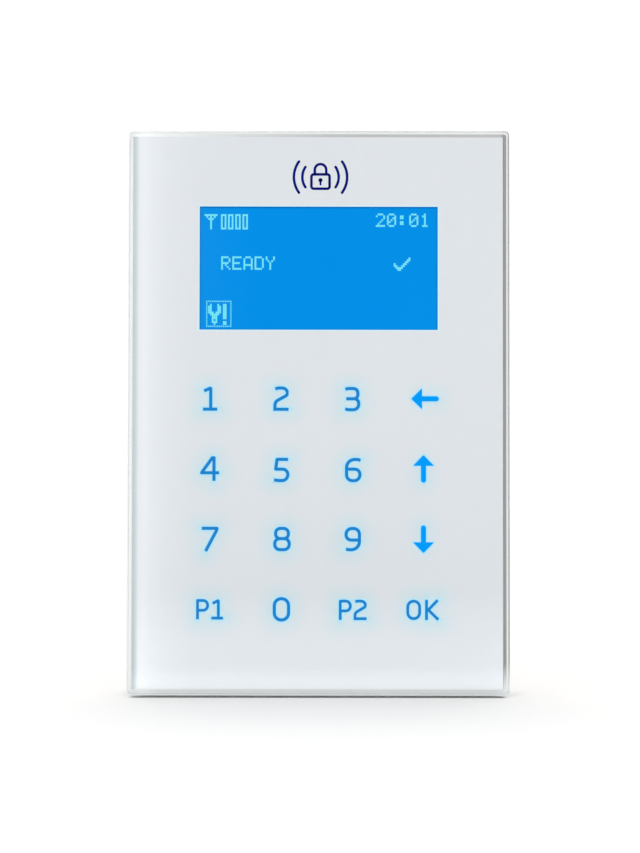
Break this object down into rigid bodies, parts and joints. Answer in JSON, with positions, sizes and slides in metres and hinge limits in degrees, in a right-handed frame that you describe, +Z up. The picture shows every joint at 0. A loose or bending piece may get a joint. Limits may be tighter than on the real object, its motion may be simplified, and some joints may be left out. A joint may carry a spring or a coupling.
{
  "type": "alarm keypad panel",
  "caption": "Wall-mounted alarm touch keypad: a clear front sheet over white print, a blue graphic display, lit touch keys, and a tilting housing on a wall bracket.",
  "frame": {"origin": "middle of the bracket's back face, on the wall plane", "axes": "+Z up along the panel's height, +Y into the wall, so the face looks along -Y; +X to the right of someone facing the keypad"},
  "size_m": [0.09, 0.019, 0.133],
  "materials": {
    "clear_acrylic": "clear, polished edges",
    "white_plastic": "fine moulded texture",
    "printed_foil": "white print with blue lit legends",
    "display": "blue backlit graphic display",
    "diffuser": "milky light guide",
    "plated_steel": "bright zinc or tin plate",
    "amber_film": "amber flexible circuit film",
    "ivory_plastic": "moulded",
    "circuit_board": "green solder mask",
    "led_lens": "moulded lamp",
    "black_plastic": "moulded",
    "slider_plastic": "moulded",
    "blue_plastic": "moulded",
    "green_plastic": "moulded"
  },
  "bodies": {
    "wall_bracket": {"wall_bracket": "white_plastic"},
    "snap_tongue": {"snap_tongue": "white_plastic"},
    "keypad_unit": {"front_panel": "clear_acrylic", "touch_foil": "printed_foil", "front_housing": "white_plastic", "light_shroud": "white_plastic", "display_glass": "display", "display_backlight": "diffuser", "display_frame": "plated_steel", "display_ribbon": "amber_film", "display_connector": "ivory_plastic", "foil_tail": "amber_film", "foil_connector": "ivory_plastic", "main_board": "circuit_board", "board_screw_1": "plated_steel", "board_screw_2": "plated_steel", "board_screw_3": "plated_steel", "board_screw_4": "plated_steel", "key_led_01": "led_lens", "key_led_02": "led_lens", "key_led_03": "led_lens", "key_led_04": "led_lens", "key_led_05": "led_lens", "key_led_06": "led_lens", "key_led_07": "led_lens", "key_led_08": "led_lens", "key_led_09": "led_lens", "key_led_10": "led_lens", "key_led_11": "led_lens", "key_led_12": "led_lens", "key_led_13": "led_lens", "key_led_14": "led_lens", "key_led_15": "led_lens", "key_led_16": "led_lens", "controller_chip": "black_plastic", "bus_driver_chip": "black_plastic", "regulator": "black_plastic", "inductor": "black_plastic", "crystal": "plated_steel", "capacitor_1": "plated_steel", "capacitor_2": "plated_steel", "buzzer": "black_plastic", "tamper_switch_body": "black_plastic", "tamper_spring": "plated_steel", "address_switch_body": "blue_plastic", "terminal_block": "green_plastic"},
    "tamper_plunger": {"tamper_plunger": "slider_plastic"},
    "address_slider_1": {"address_slider_1": "slider_plastic"},
    "address_slider_2": {"address_slider_2": "slider_plastic"},
    "address_slider_3": {"address_slider_3": "slider_plastic"},
    "address_slider_4": {"address_slider_4": "slider_plastic"},
    "terminal_screw_1": {"terminal_screw_1": "plated_steel"},
    "terminal_screw_2": {"terminal_screw_2": "plated_steel"},
    "terminal_screw_3": {"terminal_screw_3": "plated_steel"},
    "terminal_screw_4": {"terminal_screw_4": "plated_steel"},
    "terminal_clamp_1": {"terminal_clamp_1": "plated_steel"},
    "terminal_clamp_2": {"terminal_clamp_2": "plated_steel"},
    "terminal_clamp_3": {"terminal_clamp_3": "plated_steel"},
    "terminal_clamp_4": {"terminal_clamp_4": "plated_steel"}
  },
  "joints": [
    {"name": "unit_tilt", "type": "hinge", "parent": "wall_bracket", "child": "keypad_unit", "pos_m": [0, -0.0026, 0.0629], "axis": [-1, 0, 0], "range_deg": [0, 30], "deforming": ["snap_tongue"]},
    {"name": "tongue_press", "type": "hinge", "parent": "wall_bracket", "child": "snap_tongue", "pos_m": [0, -0.001, -0.0626], "axis": [-1, 0, 0], "range_deg": [0, 10], "stiffness_Nm_per_rad": 0.05},
    {"name": "tamper_plunge", "type": "slide", "parent": "keypad_unit", "child": "tamper_plunger", "axis": [0, 1, 0], "range_m": [0, 0.0012], "deforming": ["tamper_spring"]},
    {"name": "address_slide_1", "type": "slide", "parent": "keypad_unit", "child": "address_slider_1", "axis": [0, 0, 1], "range_m": [-0.0017, 0]},
    {"name": "address_slide_2", "type": "slide", "parent": "keypad_unit", "child": "address_slider_2", "axis": [0, 0, 1], "range_m": [0, 0.0017]},
    {"name": "address_slide_3", "type": "slide", "parent": "keypad_unit", "child": "address_slider_3", "axis": [0, 0, 1], "range_m": [0, 0.0017]},
    {"name": "address_slide_4", "type": "slide", "parent": "keypad_unit", "child": "address_slider_4", "axis": [0, 0, 1], "range_m": [0, 0.0017]},
    {"name": "terminal_turn_1", "type": "hinge", "parent": "keypad_unit", "child": "terminal_screw_1", "pos_m": [-0.0075, -0.003, -0.0227], "axis": [0, -1, 0], "range_deg": [0, 720]},
    {"name": "clamp_rise_1", "type": "slide", "parent": "keypad_unit", "child": "terminal_clamp_1", "axis": [0, 1, 0], "range_m": [0, 0.001]},
    {"name": "terminal_turn_2", "type": "hinge", "parent": "keypad_unit", "child": "terminal_screw_2", "pos_m": [-0.0025, -0.003, -0.0227], "axis": [0, -1, 0], "range_deg": [0, 720]},
    {"name": "clamp_rise_2", "type": "slide", "parent": "keypad_unit", "child": "terminal_clamp_2", "axis": [0, 1, 0], "range_m": [0, 0.001]},
    {"name": "terminal_turn_3", "type": "hinge", "parent": "keypad_unit", "child": "terminal_screw_3", "pos_m": [0.0025, -0.003, -0.0227], "axis": [0, -1, 0], "range_deg": [0, 720]},
    {"name": "clamp_rise_3", "type": "slide", "parent": "keypad_unit", "child": "terminal_clamp_3", "axis": [0, 1, 0], "range_m": [0, 0.001]},
    {"name": "terminal_turn_4", "type": "hinge", "parent": "keypad_unit", "child": "terminal_screw_4", "pos_m": [0.0075, -0.003, -0.0227], "axis": [0, -1, 0], "range_deg": [0, 720]},
    {"name": "clamp_rise_4", "type": "slide", "parent": "keypad_unit", "child": "terminal_clamp_4", "axis": [0, 1, 0], "range_m": [0, 0.001]}
  ],
  "couplings": [
    {"joint": "tamper_plunge", "follows": "unit_tilt", "m_per_rad": 0.00229},
    {"joint": "terminal_turn_1", "follows": "clamp_rise_1", "rad_per_m": 12566},
    {"joint": "terminal_turn_2", "follows": "clamp_rise_2", "rad_per_m": 12566},
    {"joint": "terminal_turn_3", "follows": "clamp_rise_3", "rad_per_m": 12566},
    {"joint": "terminal_turn_4", "follows": "clamp_rise_4", "rad_per_m": 12566}
  ]
}
